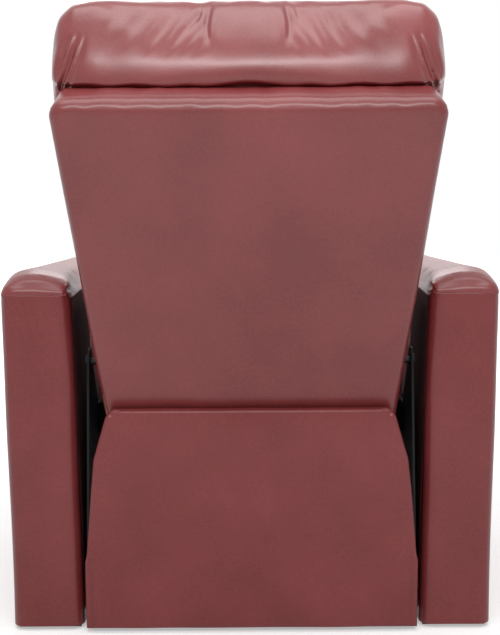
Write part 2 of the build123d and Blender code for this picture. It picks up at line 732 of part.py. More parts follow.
def make_drive():
    tube_y, tube_z = drive_tube_y, drive_tube_z
    end_x = plate_inner_x + side_plate + 2
    tube = rod_x(-end_x, end_x, tube_y, tube_z, drive_tube_radius)
    tube = tube - rod_x(-end_x - 1, end_x + 1, tube_y, tube_z, drive_tube_radius - drive_tube_wall)
    nodes["drive_tube"] = tube
    crank_y, crank_z = crank_arm(tube_y, tube_z)
    lug_y, lug_z = crank_arm(footrest_pivot_y, footrest_pivot_z)
    link_outer_x = link_inner_x + side_plate
    crank = strap(tube_y, tube_z, crank_y, crank_z, link_half_width, bracket_inner_x, side_plate)
    crank = crank + rod_x(bracket_inner_x, bracket_inner_x + side_plate, tube_y, tube_z, 20)
    crank = crank - rod_x(bracket_inner_x - 1, bracket_inner_x + side_plate + 1, tube_y, tube_z,
                          drive_tube_radius + running_gap)
    crank = crank + rod_x(bracket_inner_x + 1, link_outer_x + 2, crank_y, crank_z, pin_radius - 1)
    nodes["drive_cranks"] = Compound([crank, mirrored(crank)])
    link = strap(crank_y, crank_z, lug_y, lug_z, link_half_width, link_inner_x, side_plate)
    for y, z in ((crank_y, crank_z), (lug_y, lug_z)):
        link = link - rod_x(link_inner_x - 1, link_outer_x + 1, y, z, pin_radius - 1 + running_gap)
    nodes["drive_links"] = Compound([link, mirrored(link)])

    half = 45.0
    housing = box(-half, half, tube_y - 38, tube_y + 38, 168, tube_z + 34)
    housing = housing - rod_x(-half - 1, half + 1, tube_y, tube_z, drive_tube_radius + running_gap)
    nodes["gearmotor_housing"] = housing
    nodes["gearmotor_can"] = rod_x(half + seat_gap, half + 115, tube_y, 196, 24)
    front_y = tube_y - 38 - seat_gap
    foot_z = rail_top_z + seat_gap
    bracket = (box(-20, 20, front_y - side_plate, front_y, foot_z, tube_z + 20)
               + box(-20, 20, rail_front_y, front_y, foot_z, foot_z + side_plate))
    nodes["gearmotor_bracket"] = bracket


# ---------------------------------------------------------------- footrest
def make_footrest():
    pivot_y, pivot_z = footrest_pivot_y, footrest_pivot_z
    radius = knuckle_radius
    board_front = pivot_y + seat_gap
    half = footrest_half_width

    def section(x, draw):
        front = footrest_front_y + draw
        reach = radius - draw
        low = footrest_low_z + draw
        return ring_section(x, [
            (pivot_y, low),
            (front + 22, low),
            (front + 3, low + 30, 5.0),
            (front, pivot_z),
            (pivot_y, pivot_z + reach, reach * (1 - math.sqrt(0.5))),
        ])

    nodes["footrest_pad"] = across([section(x, footrest_end_draw * share)
                                    for x, share in end_stations(half, footrest_end_run)])
    board_low = footrest_low_z + 14
    nodes["footrest_board"] = box(-half, half, board_front, board_front + footrest_board, board_low,
                                  pivot_z + 20)
    lug_y, lug_z = crank_arm(pivot_y, pivot_z)
    points = [(pivot_y - 14, pivot_z), (pivot_y, pivot_z + 16), (pivot_y + 16, pivot_z),
              (lug_y + 14, lug_z), (pivot_y + 12, 190), (pivot_y - 14, 190)]
    bracket = plate_x(points, bracket_inner_x, side_plate)
    for y, z, disc in ((pivot_y, pivot_z, 16), (lug_y, lug_z, 14)):
        bracket = bracket + rod_x(bracket_inner_x, bracket_inner_x + side_plate, y, z, disc)
    flange = box(bracket_inner_x - 40, bracket_inner_x + 1, board_front + footrest_board + seat_gap,
                 board_front + footrest_board + seat_gap + side_plate, 190, 300)
    bracket = bracket + flange
    bracket = bracket - rod_x(bracket_inner_x - 1, bracket_inner_x + side_plate + 1, pivot_y,
                              pivot_z, pin_radius + running_gap)
    bracket = bracket + rod_x(bracket_inner_x + 1, link_inner_x + side_plate + 2, lug_y, lug_z,
                              pin_radius - 1)
    nodes["footrest_bracket_left"] = bracket
    nodes["footrest_bracket_right"] = mirrored(bracket)


# ---------------------------------------------------------------- switch and control
def make_switch():
    face_x = -arm_inner_x(switch_z - switch_height / 2) + seat_gap
    plate = box(face_x, face_x + switch_face, switch_y - switch_length / 2,
                switch_y + switch_length / 2, switch_z - switch_height / 2,
                switch_z + switch_height / 2)
    plate = plate + (switch_box(0, 0, 0) & box(-overall_width, face_x + 1, -overall_width,
                                               overall_width, 0, overall_width))
    buttons = []
    front = face_x + switch_face + button_rise
    for side in (-1, 1):
        y = switch_y + side * button_spacing / 2
        buttons.append(rod_x(front - button_length, front, y, switch_z, button_radius))
        plate = plate - rod_x(front - button_length - button_travel - 1, front + 1, y, switch_z,
                              button_radius + running_gap)
    nodes["switch_plate"] = plate
    nodes["button_open"] = buttons[0]
    nodes["button_close"] = buttons[1]
    box_low = rail_floor_gap + 2
    control = box(rail_inner_x - seat_gap - 40, rail_inner_x - seat_gap, -60, 60, box_low, box_low + 36)
    inlet = rod_y(60 - 12, 61, rail_inner_x - 20, box_low + 18, 5)
    nodes["control_box"] = mirrored(control - inlet)


def make_pins():
    pin = headed_pin(back_low_half_width - skin - back_rail_width - side_plate - 3,
                     recline_pivot_y, recline_pivot_z)
    nodes["recline_pins"] = Compound([pin, mirrored(pin)])
    pin = headed_pin(bracket_inner_x, footrest_pivot_y, footrest_pivot_z)
    nodes["footrest_pins"] = Compound([pin, mirrored(pin)])


make_arms()
make_base()
nodes["mechanism_plate_left"] = mechanism_plate()
nodes["mechanism_plate_right"] = mirrored(nodes["mechanism_plate_left"])
make_seat()
make_back()
make_actuator()
make_drive()
make_footrest()
make_switch()
make_pins()

os.makedirs("parts", exist_ok=True)
for name, shape in nodes.items():
    export_step(shape, "parts/" + name + ".step")
print(len(nodes), "nodes")
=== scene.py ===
import json
import math

import bmesh
import bpy
from mathutils import Matrix, Vector, noise


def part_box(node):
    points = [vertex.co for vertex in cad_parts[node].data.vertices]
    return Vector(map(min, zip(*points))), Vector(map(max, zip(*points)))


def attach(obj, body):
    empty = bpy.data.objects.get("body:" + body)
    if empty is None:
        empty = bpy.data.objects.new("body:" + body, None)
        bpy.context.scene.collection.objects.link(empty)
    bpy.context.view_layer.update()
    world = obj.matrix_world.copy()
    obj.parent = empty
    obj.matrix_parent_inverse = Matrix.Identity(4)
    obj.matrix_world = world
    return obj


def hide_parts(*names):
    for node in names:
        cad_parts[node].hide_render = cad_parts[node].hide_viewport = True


# Dresses a powered cinema recliner seat.  Metres, +Z up, front towards -Y.

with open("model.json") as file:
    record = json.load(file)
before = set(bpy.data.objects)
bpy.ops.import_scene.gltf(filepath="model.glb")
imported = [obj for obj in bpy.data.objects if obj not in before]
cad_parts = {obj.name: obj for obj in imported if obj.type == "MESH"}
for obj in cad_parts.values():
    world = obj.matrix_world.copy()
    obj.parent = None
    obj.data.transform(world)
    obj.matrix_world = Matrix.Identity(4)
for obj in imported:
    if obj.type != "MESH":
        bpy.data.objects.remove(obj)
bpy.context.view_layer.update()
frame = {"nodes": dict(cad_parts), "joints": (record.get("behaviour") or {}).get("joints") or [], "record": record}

# ---------------------------------------------------------------- places from the frame
joints = {joint["name"]: joint for joint in frame["joints"]}
PIVOT = Vector(joints["back_recline"]["pos_m"])
PIVOT_LIFT = Vector(joints["footrest_lift"]["pos_m"])
BACK_LEAN = math.radians(16.1)

# ---------------------------------------------------------------- camera, from the photograph
PHOTO_WIDTH = 500
FOCAL_PX = 1203.0
CAMERA_PLACE = (0.0, 2.343, 0.837)
CAMERA_PITCH = math.radians(8.0)
CAMERA_ROLL = math.radians(-0.36)
SENSOR_WIDTH = 36.0        # millimetres


def add_camera():
    data = bpy.data.cameras.new("photo_camera")
    data.sensor_fit = "HORIZONTAL"
    data.sensor_width = SENSOR_WIDTH
    data.lens = FOCAL_PX / PHOTO_WIDTH * SENSOR_WIDTH
    camera = bpy.data.objects.new("photo_camera", data)
    aim = Matrix.Rotation(math.pi, 4, "Z") @ Matrix.Rotation(math.pi / 2 - CAMERA_PITCH, 4, "X")
    roll = Matrix.Rotation(CAMERA_ROLL, 4, "Z")
    camera.matrix_world = Matrix.Translation(CAMERA_PLACE) @ aim @ roll
    bpy.context.collection.objects.link(camera)
    bpy.context.scene.camera = camera


def add_area_light(name, place, aim, size, watts):
    data = bpy.data.lights.new(name, "AREA")
    data.shape = "RECTANGLE"
    data.size, data.size_y = size
    data.energy = watts
    lamp = bpy.data.objects.new(name, data)
    lamp.location = place
    lamp.rotation_euler = (Vector(aim) - Vector(place)).to_track_quat("-Z", "Y").to_euler()
    bpy.context.collection.objects.link(lamp)


# ---------------------------------------------------------------- shader expressions
class Value:
    """One socket of a material, so that shader maths reads as an expression."""

    def __init__(self, tree, socket):
        self.tree = tree
        self.socket = socket

    def maths(self, operation, first, second=None):
        node = self.tree.nodes.new("ShaderNodeMath")
        node.operation = operation
        for slot, item in zip(node.inputs, (first, second)):
            if isinstance(item, Value):
                self.tree.links.new(item.socket, slot)
            elif item is not None:
                slot.default_value = item
        return Value(self.tree, node.outputs[0])

    def __add__(self, other):
        return self.maths("ADD", self, other)

    __radd__ = __add__

    def __mul__(self, other):
        return self.maths("MULTIPLY", self, other)

    __rmul__ = __mul__


class Finish:
    """A material whose nodes are added by type, settings and socket values."""

    def __init__(self, name):
        self.material = bpy.data.materials.new(name)
        self.material.use_nodes = True
        self.tree = self.material.node_tree
        self.surface = self.tree.nodes["Principled BSDF"]
        self.places = self.node("ShaderNodeTexCoord", {}, {}, "Object")

    def node(self, kind, settings, sockets, output=0):
        made = self.tree.nodes.new(kind)
        for key, value in settings.items():
            if key == "stops":
                self.set_stops(made.color_ramp, value)
            else:
                setattr(made, key, value)
        for key, value in sockets.items():
            self.feed(made.inputs[key], value)
        return Value(self.tree, made.outputs[output])

    def set_stops(self, ramp, stops):
        while len(ramp.elements) < len(stops):
            ramp.elements.new(1.0)
        for element, (place, colour) in zip(ramp.elements, stops):
            element.position = place
            element.color = (*colour, 1.0)

    def feed(self, slot, value):
        if isinstance(value, Value):
            self.tree.links.new(value.socket, slot)
        else:
            slot.default_value = value

    def set(self, **values):
        for key, value in values.items():
            self.feed(self.surface.inputs[key.replace("_", " ")], value)
        return self

    def noise(self, scale, detail=4.0, roughness=0.5, stretch=(1, 1, 1)):
        where = self.node("ShaderNodeMapping", {}, {"Vector": self.places, "Scale": stretch})
        return self.node("ShaderNodeTexNoise", {}, {"Vector": where, "Scale": scale,
                         "Detail": detail, "Roughness": roughness}, "Fac")

    def cells(self, scale, feature="F1"):
        return self.node("ShaderNodeTexVoronoi", {"feature": feature},
                         {"Vector": self.places, "Scale": scale}, "Distance")

    def blend(self, share, first, second):
        """Mixes two colours by a share from 0 to 1."""
        made = self.tree.nodes.new("ShaderNodeMix")
        made.data_type = "RGBA"
        self.feed(made.inputs["Factor"], share)
        for slot, colour in ((made.inputs[6], first), (made.inputs[7], second)):
            self.feed(slot, colour if isinstance(colour, Value) else (*colour, 1.0))
        return Value(self.tree, made.outputs[2])

    def ramp(self, share, stops):
        return self.node("ShaderNodeValToRGB", {"stops": stops}, {"Fac": share}, "Color")

    def bump(self, height, strength, distance, under=None):
        sockets = {"Height": height, "Strength": strength, "Distance": distance}
        if under is not None:
            sockets["Normal"] = under
        return self.node("ShaderNodeBump", {}, sockets, "Normal")


# ---------------------------------------------------------------- finishes
WINE = (0.205, 0.032, 0.033)
WINE_LIGHT = (0.238, 0.041, 0.043)
WINE_DARK = (0.168, 0.022, 0.023)
COAT_ROUGHNESS = 0.25
BLACK = (0.010, 0.010, 0.011)
CHARCOAL = (0.018, 0.018, 0.019)
PLY = ((0.36, 0.22, 0.11), (0.55, 0.38, 0.21), (0.66, 0.49, 0.30))


def leather(name, painted_light=1.0, rough=0.36, shine=0.36):
    """Coated wine-brown leather: faint blotches, fine pebbled grain, soft gloss. painted_light
    scales its tones, as painted light above 1 and painted shade below 1, and shine sets both
    its own gloss and its coat."""
    finish = Finish(name)
    # the tones scaled here are painted light above 1 and painted shade below 1
    tones = [tuple(channel * painted_light for channel in tone) for tone in (WINE_DARK, WINE, WINE_LIGHT)]
    blotch = finish.noise(7.0, 4.0, 0.5)
    speckle = finish.noise(280.0, 3.0, 0.6)
    tone = blotch * 0.6 + speckle * 0.4
    colour = finish.ramp(tone, [(0.36, tones[0]), (0.50, tones[1]), (0.66, tones[2])])
    pebble = finish.cells(520.0, "SMOOTH_F1")
    crease = finish.cells(230.0, "DISTANCE_TO_EDGE")
    fine = finish.noise(900.0, 2.0, 0.6)
    height = pebble * -0.5 + fine * 0.25 + crease * 0.35
    swell = finish.bump(finish.noise(34.0, 3.0, 0.5), 0.14, 0.003)
    normal = finish.bump(height, 0.32, 0.0006, swell)
    gloss = finish.noise(14.0, 4.0, 0.6) * 0.12 + (rough - 0.06) + pebble * 0.05
    finish.set(Base_Color=colour, Roughness=gloss, Normal=normal)
    finish.surface.inputs["Specular IOR Level"].default_value = shine
    finish.surface.inputs["Coat Weight"].default_value = shine
    finish.surface.inputs["Coat Roughness"].default_value = COAT_ROUGHNESS
    return finish.material


def powder_coat(name, colour=BLACK):
    """Black paint or powder on steel and board, with a little dust on it."""
    finish = Finish(name)
    orange_peel = finish.noise(700.0, 2.0, 0.5)
    dust = finish.noise(40.0, 4.0, 0.6)
    tone = finish.ramp(dust, [(0.35, colour), (0.75, tuple(c * 1.7 for c in colour))])
    finish.set(Base_Color=tone, Roughness=dust * 0.2 + 0.52,
               Normal=finish.bump(orange_peel, 0.15, 0.0004))
    finish.surface.inputs["Specular IOR Level"].default_value = 0.25
    return finish.material


def plywood(name):
    """Birch-coloured plywood with long pores."""
    finish = Finish(name)
    rings = finish.noise(16.0, 6.0, 0.62, (1, 1, 9))
    pores = finish.noise(220.0, 3.0, 0.6, (1, 1, 0.06))
    tone = finish.ramp(rings * 0.8 + pores * 0.2, list(zip((0.3, 0.5, 0.7), PLY)))
    finish.set(Base_Color=tone, Roughness=pores * 0.2 + 0.55,
               Normal=finish.bump(pores, 0.2, 0.0005))
    return finish.material


def zinc(name):
    """Brushed zinc plate with faint stains."""
    finish = Finish(name)
    brushed = finish.noise(420.0, 3.0, 0.6, (0.05, 1, 1))
    stain = finish.noise(30.0, 4.0, 0.6)
    tone = finish.ramp(stain, [(0.3, (0.46, 0.46, 0.45)), (0.7, (0.66, 0.66, 0.65))])
    finish.set(Base_Color=tone, Metallic=1.0, Roughness=brushed * 0.2 + 0.25,
               Normal=finish.bump(brushed, 0.08, 0.0003))
    return finish.material


def moulded(name, colour=CHARCOAL, rough=0.5):
    """Finely textured plastic or rubber, slightly scuffed."""
    finish = Finish(name)
    texture = finish.cells(1300.0)
    scuff = finish.noise(60.0, 5.0, 0.65)
    tone = finish.ramp(scuff, [(0.3, colour), (0.8, tuple(c * 1.8 for c in colour))])
    finish.set(Base_Color=tone, Roughness=scuff * 0.2 + (rough - 0.1),
               Normal=finish.bump(texture, 0.18, 0.0003))
    return finish.material


def lining_cloth(name, dark, light):
    """Matt non-woven lining, its fibres between two tones."""
    finish = Finish(name)
    fibres = finish.noise(1400.0, 3.0, 0.7)
    sag = finish.noise(24.0, 4.0, 0.6)
    tone = finish.ramp(fibres, [(0.3, dark), (0.7, light)])
    finish.set(Base_Color=tone, Roughness=fibres * 0.1 + 0.88,
               Normal=finish.bump(fibres * 0.4 + sag, 0.3, 0.001))
    finish.surface.inputs["Specular IOR Level"].default_value = 0.1
    return finish.material


def black_oxide(name):
    """Blackened steel of the pivot pins, spacers and bolts."""
    finish = Finish(name)
    turned = finish.noise(500.0, 3.0, 0.6, (1, 0.1, 0.1))
    tone = finish.ramp(turned, [(0.3, (0.020, 0.020, 0.021)), (0.7, (0.045, 0.045, 0.046))])
    finish.set(Base_Color=tone, Metallic=1.0, Roughness=turned * 0.2 + 0.35,
               Normal=finish.bump(turned, 0.08, 0.0002))
    return finish.material


finishes = {
    # Painted light and shade: the pads' tones are raised to 1.20 to stand in for the light on them, and the arms
    # and base panel are lowered to 0.99 against the back's 1.06 for their shade.
    "upholstery": leather("wine_leather", 1.06),
    "cushion": leather("wine_cushion_leather", 1.20, 0.30, 0.44),
    "low_leather": leather("wine_low_leather", 0.99, 0.38, 0.26),
    "timber": plywood("plywood"),
    "mechanism_steel": powder_coat("black_powder_coat"),
    "bright_steel": zinc("zinc_plate"),
    "black_plastic": moulded("black_moulding"),
    "rubber": moulded("black_rubber", (0.020, 0.019, 0.018), 0.75),
    "black_cloth": lining_cloth("dust_cloth_black", (0.008, 0.008, 0.009), (0.028, 0.027, 0.027)),
    # The dark wine cloth is painted shade, for the arms' inner leather in the shadow of the gap beside the back.
    "painted_shade_cloth": lining_cloth("lining_wine", (0.030, 0.006, 0.007), (0.052, 0.011, 0.012)),
}
# The black on these rails and the board is painted shade, for the dark gaps where they show.
GAP_SHADE_BLACK = (0.013, 0.012, 0.012)
BLACKENED = ("recline_pins", "footrest_pins", "arm_spacers", "arm_bolts")
GAP_SHADE_PARTS = ("seat_side_rails", "seat_rear_rail", "seat_front_rail", "base_rear_board",
           "back_bottom_rail")


def finish_cad_nodes():
    """Gives each CAD node its record's finish, or its own where it shows in a dark gap; the black given to the
    rails and board there is painted shade.
    """
    own = dict.fromkeys(BLACKENED, black_oxide("black_oxide"))
    own.update(dict.fromkeys(GAP_SHADE_PARTS, powder_coat("black_painted_board", GAP_SHADE_BLACK)))
    for part in frame["record"]["subparts"]:
        piece = frame["nodes"][part["node"]]
        material = own.get(part["node"], finishes[part["material_slot"]])
        piece.data.materials.clear()
        piece.data.materials.append(material)


# ---------------------------------------------------------------- modelling
PRESSURE = 4.0             # of the air that blows the pads up
LAST_FRAME = 20
MERGE_GAP = 0.00005


def only(piece):
    """Selects one piece alone and makes it active."""
    bpy.ops.object.select_all(action="DESELECT")
    piece.select_set(True)
    bpy.context.view_layer.objects.active = piece


def choose(piece, kind, test):
    """Selects the verts, edges or faces that pass a test, in edit mode."""
    mesh = bmesh.from_edit_mesh(piece.data)
    bpy.ops.mesh.select_mode(type={"verts": "VERT", "edges": "EDGE", "faces": "FACE"}[kind])
    bpy.ops.mesh.select_all(action="DESELECT")
    for item in getattr(mesh, kind):
        if test(item):
            item.select_set(True)
    mesh.select_flush_mode()
    bmesh.update_edit_mesh(piece.data)


def middle(item):
    """The middle of an edge or face."""
    return sum((vert.co for vert in item.verts), Vector()) / len(item.verts)


def apply_modifier(piece, kind, **settings):
    only(piece)
    modifier = piece.modifiers.new(kind.lower(), kind)
    for key, value in settings.items():
        setattr(modifier, key, value)
    bpy.ops.object.modifier_apply(modifier=modifier.name)


def block(name, low, high):
    """A box between two corners, with its place in its mesh."""
    bpy.ops.object.select_all(action="DESELECT")
    centre = [(a + b) / 2 for a, b in zip(low, high)]
    bpy.ops.mesh.primitive_cube_add(size=1, location=centre)
    piece = bpy.context.object
    piece.name = name
    piece.scale = [b - a for a, b in zip(low, high)]
    bpy.ops.object.transform_apply(location=True, rotation=True, scale=True)
    return piece


def copy_of(node, name):
    """A merged copy of a CAD node's mesh, as a piece of its own."""
    piece = frame["nodes"][node].copy()
    piece.data = frame["nodes"][node].data.copy()
    piece.name = name
    bpy.context.collection.objects.link(piece)
    only(piece)
    bpy.ops.object.mode_set(mode="EDIT")
    bpy.ops.mesh.select_all(action="SELECT")
    bpy.ops.mesh.remove_doubles(threshold=MERGE_GAP)
    bpy.ops.object.mode_set(mode="OBJECT")
    return piece


def remesh(piece, voxel):
    only(piece)
    piece.data.remesh_voxel_size = voxel
    bpy.ops.object.voxel_remesh()


def trim(piece, *cuts):
    """Cuts a piece open by planes, each (place, direction of what goes)."""
    only(piece)
    bpy.ops.object.mode_set(mode="EDIT")
    for place, away in cuts:
        bpy.ops.mesh.select_all(action="SELECT")
        bpy.ops.mesh.bisect(plane_co=place, plane_no=away, clear_outer=True)
    bpy.ops.object.mode_set(mode="OBJECT")


def fall(distance, width):
    """A smooth bump: 1 at no distance and near 0 past the width."""
    return math.exp(-((distance / width) ** 2))


def from_line(x, z, start, end):
    """How far a place is from a straight line, and its share along that line."""
    run = Vector((end[0] - start[0], end[1] - start[1]))
    gap = Vector((x - start[0], z - start[1]))
    share = gap.dot(run) / run.length_squared
    return abs(gap.cross(run)) / run.length, share


def ease(value):
    """Turns smoothly from 0 to 1 as the value does."""
    share = min(max(value, 0.0), 1.0)
    return share * share * (3 - 2 * share)


def ripple(point, *scales):
    """Smooth noise from -1 to 1 at a point, with its scale along each axis."""
    return noise.noise(Vector([place * scale for place, scale in zip(point, scales)]))


def shape(piece, move):
    """Moves every point by what move(point, normal) gives."""
    normals = [vert.normal.copy() for vert in piece.data.vertices]
    for vert, normal in zip(piece.data.vertices, normals):
        vert.co += move(vert.co.copy(), normal)
    piece.data.update()


def dress(piece, material, body, *nodes):
    """Gives a finished piece its material, its body and the CAD nodes it stands for."""
    only(piece)
    bpy.ops.object.shade_smooth()
    piece.data.materials.clear()
    piece.data.materials.append(material)
    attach(piece, body)
    if nodes:
        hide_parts(*nodes)


def round_off(piece):
    """One subdivision of a stuffed pad."""
    apply_modifier(piece, "SUBSURF", levels=1, render_levels=1)


def stuffed(node, name, voxel, slack, cap, rests, smoothing=6):
    """A pad blown up from a copy of its CAD solid, drawn in by slack first: cap is how far
    its skin may move, and rests(point, normal) gives how freely it moves there, from 0 where
    it lies on something to 1."""
    piece = copy_of(node, name)
    bpy.ops.object.mode_set(mode="EDIT")
    bpy.ops.mesh.select_all(action="SELECT")
    bpy.ops.transform.shrink_fatten(value=-slack)
    bpy.ops.object.mode_set(mode="OBJECT")
    remesh(piece, voxel)
    start = [vert.co.copy() for vert in piece.data.vertices]
    freedom = [rests(vert.co, vert.normal) for vert in piece.data.vertices]
    only(piece)
    cloth = piece.modifiers.new("cloth", "CLOTH")
    cloth.settings.use_pressure = True
    cloth.settings.uniform_pressure_force = PRESSURE
    cloth.settings.effector_weights.gravity = 0.0
    cloth.settings.quality = 5
    scene = bpy.context.scene
    for number in range(1, LAST_FRAME + 1):
        scene.frame_set(number)
    swollen = piece.evaluated_get(bpy.context.evaluated_depsgraph_get()).data
    moves = [after.co - before for after, before in zip(swollen.vertices, start)]
    piece.modifiers.clear()
    scene.frame_set(1)
    for vert, move, free in zip(piece.data.vertices, moves, freedom):
        reach = move.length
        if reach > 0:
            vert.co += move * (min(reach, cap) / reach * free)
    piece.data.update()
    apply_modifier(piece, "SMOOTH", factor=0.5, iterations=smoothing)
    return piece


# ---------------------------------------------------------------- backrest
BACK_REAR = 0.100          # rearwards of the pivot, before it leans
BACK_FRONT = -0.003
BACK_LOW = -0.070
BACK_TOP = 0.492
BACK_LOW_HALF = 0.251
BACK_TOP_HALF = 0.3115
BACK_CORNER = 0.028
BACK_EDGE = 0.016
BACK_SPARE = 0.02          # of the block, in front and below, that is trimmed off
BACK_VOXEL = 0.0035
BACK_RIPPLE = 0.0010
BACK_SWELL = 0.006         # the middle of the rear panel and of the top stand out by this much
TOP_SEAM_IN = 0.023        # the top seam runs this far in front of the rear face,
TOP_SEAM_DEPTH = 0.0026
TOP_ROLL_IN = 0.013        # and the roll behind it here
TOP_ROLL = 0.0012
TOP_FOLD = 0.0015
LEATHER_WALL = 0.0035
PLATFORM_FRONT = -0.0112    # in front of the springs, behind the pads
PLATFORM_REAR = -0.0034
PLATFORM_LOW = 0.055
PLATFORM_HIGH = 0.484
PLATFORM_WALL = 0.0028
LEVER_GAP_HALF = 0.033     # the linings below leave this much free for the recline lever
BACK_LINING_LOW = -0.0692
BACK_LINING_HIGH = -0.0678
BACK_PAD_VOXEL = 0.006
BACK_PAD_SLACK = 0.004
BACK_PAD_CAP = 0.016
SPRING_PLANE = -0.012      # the back pads lie flat on this plane


def lean(piece):
    """Takes a backrest piece from upright, about its pivot, to its place."""
    piece.data.transform(Matrix.Translation(PIVOT) @ Matrix.Rotation(-BACK_LEAN, 4, "X"))


def unlean(point):
    """A point's place before the lean: across, rearwards and up from the pivot."""
    return Matrix.Rotation(BACK_LEAN, 3, "X") @ (point - PIVOT)


def back_half(up):
    """Half width of the tapered back at a height above the pivot."""
    share = (up - BACK_LOW) / (BACK_TOP - BACK_LOW)
    return BACK_LOW_HALF + (BACK_TOP_HALF - BACK_LOW_HALF) * share


def make_back_cover():
    """The tapered leather case of the backrest, open to the front and below."""
    foot = BACK_LOW - BACK_SPARE
    low = (-BACK_LOW_HALF, BACK_FRONT - BACK_SPARE, foot)
    piece = block("back_case", low, (BACK_LOW_HALF, BACK_REAR, BACK_TOP))
    bpy.ops.object.mode_set(mode="EDIT")
    choose(piece, "verts", lambda vert: vert.co.z > 0)
    bpy.ops.transform.resize(value=(BACK_TOP_HALF / back_half(foot), 1, 1))
    choose(piece, "verts", lambda vert: vert.co.z < 0)
    bpy.ops.transform.resize(value=(back_half(foot) / BACK_LOW_HALF, 1, 1))
    choose(piece, "edges", lambda edge: abs(middle(edge).x) > 0.2 and middle(edge).z > 0.4
           and abs(edge.verts[0].co.y - edge.verts[1].co.y) > 0.05)
    bpy.ops.mesh.bevel(offset=BACK_CORNER, segments=8, affect="EDGES")
    choose(piece, "faces", lambda face: face.normal.y > 0.9)
    bpy.ops.mesh.region_to_loop()
    bpy.ops.mesh.bevel(offset=BACK_EDGE, segments=6, affect="EDGES")
    bpy.ops.object.mode_set(mode="OBJECT")
    remesh(piece, BACK_VOXEL)
    trim(piece, ((0, BACK_FRONT, 0), (0, -1, 0)), ((0, 0, BACK_LOW), (0, 0, -1)))

    def crown(point, normal):
        half = back_half(point.z)
        across_share = min(abs(point.x) / half, 1.0)
        up_share = (point.z - BACK_LOW) / (BACK_TOP - BACK_LOW)
        swell = Vector()
        if normal.y > 0.5:
            full = (1 - across_share ** 4) * (1 - (2 * up_share - 1) ** 6)
            swell.y += BACK_SWELL * max(full, 0)
        if normal.z > 0.5:
            depth_share = (point.y - BACK_FRONT) / (BACK_REAR - BACK_FRONT)
            dome = math.sin(math.pi * min(max(depth_share, 0), 1))
            swell.z += BACK_SWELL * dome * (1 - across_share ** 6)
            swell.z -= TOP_SEAM_DEPTH * fall(point.y - BACK_REAR + TOP_SEAM_IN, 0.0034)
            swell.z += TOP_ROLL * fall(point.y - BACK_REAR + TOP_ROLL_IN, 0.007)
            folds = noise.noise(Vector((point.x * 38, point.y * 8, 1.0)))
            swell.z += TOP_FOLD * folds
        return swell + normal * ripple(point, 9, 9, 5) * BACK_RIPPLE

    shape(piece, crown)
    apply_modifier(piece, "SOLIDIFY", thickness=LEATHER_WALL, offset=-1.0)
    lean(piece)
    dress(piece, finishes["upholstery"], "backrest", "back_cover")


def make_back_platform():
    """The leather platform that the back pads are sewn to, wrapped round the frame's edges."""
    piece = block("back_platform", (-1, PLATFORM_FRONT, PLATFORM_LOW),
                  (1, PLATFORM_REAR, PLATFORM_HIGH))
    bpy.ops.object.mode_set(mode="EDIT")
    for up in (PLATFORM_LOW, PLATFORM_HIGH):
        choose(piece, "verts", lambda vert: abs(vert.co.z - up) < 0.01)
        bpy.ops.transform.resize(value=(back_half(up) - 0.0008, 1, 1))
    choose(piece, "faces", lambda face: face.normal.y > 0.9)
    bpy.ops.mesh.delete(type="FACE")
    choose(piece, "faces", lambda face: face.normal.y < -0.9)
    bpy.ops.mesh.region_to_loop()
    bpy.ops.mesh.bevel(offset=0.0025, segments=3, affect="EDGES")
    choose(piece, "faces", lambda face: face.normal.y < -0.9)
    bpy.ops.mesh.subdivide(number_cuts=40)
    bpy.ops.object.mode_set(mode="OBJECT")

    def settle(point, normal):
        return Vector((0, 0.0007 * noise.noise(point * 22) * ease(-normal.y), 0))

    shape(piece, settle)
    apply_modifier(piece, "SOLIDIFY", thickness=PLATFORM_WALL, offset=-1.0)
    lean(piece)
    dress(piece, finishes["upholstery"], "backrest")


def make_back_under_cloths():
    """Black lining stapled under the backrest's frame, either side of its lever."""
    rear, front = BACK_REAR - 0.0045, BACK_FRONT + 0.004
    for side, word in ((1, "left"), (-1, "right")):
        inner, outer = sorted((side * LEVER_GAP_HALF, side * (BACK_LOW_HALF - 0.0045)))
        piece = block("back_lining_" + word, (inner, front, BACK_LINING_LOW),
                      (outer, rear, BACK_LINING_HIGH))
        bpy.ops.object.mode_set(mode="EDIT")
        choose(piece, "faces", lambda face: face.normal.z < -0.9)
        bpy.ops.mesh.subdivide(number_cuts=11)
        bpy.ops.object.mode_set(mode="OBJECT")

        def sag(point, normal):
            if point.z > (BACK_LINING_LOW + BACK_LINING_HIGH) / 2:
                return Vector()
            return Vector((0, 0, 0.0007 * noise.noise(point * 40)))

        shape(piece, sag)
        lean(piece)
        dress(piece, finishes["black_cloth"], "backrest")


def pad_freedom(point, normal):
    """A back pad lies on its springs behind and swells everywhere else."""
    rearwards = unlean(point).y
    return min(max((SPRING_PLANE - rearwards) / 0.03, 0.0), 1.0)


def make_back_pads():
    for node, name in (("lumbar_cushion", "lumbar_pad"), ("back_cushion", "shoulder_pad")):
        piece = stuffed(node, name, BACK_PAD_VOXEL, BACK_PAD_SLACK, BACK_PAD_CAP, pad_freedom)
        round_off(piece)
        dress(piece, finishes["cushion"], "backrest", node)


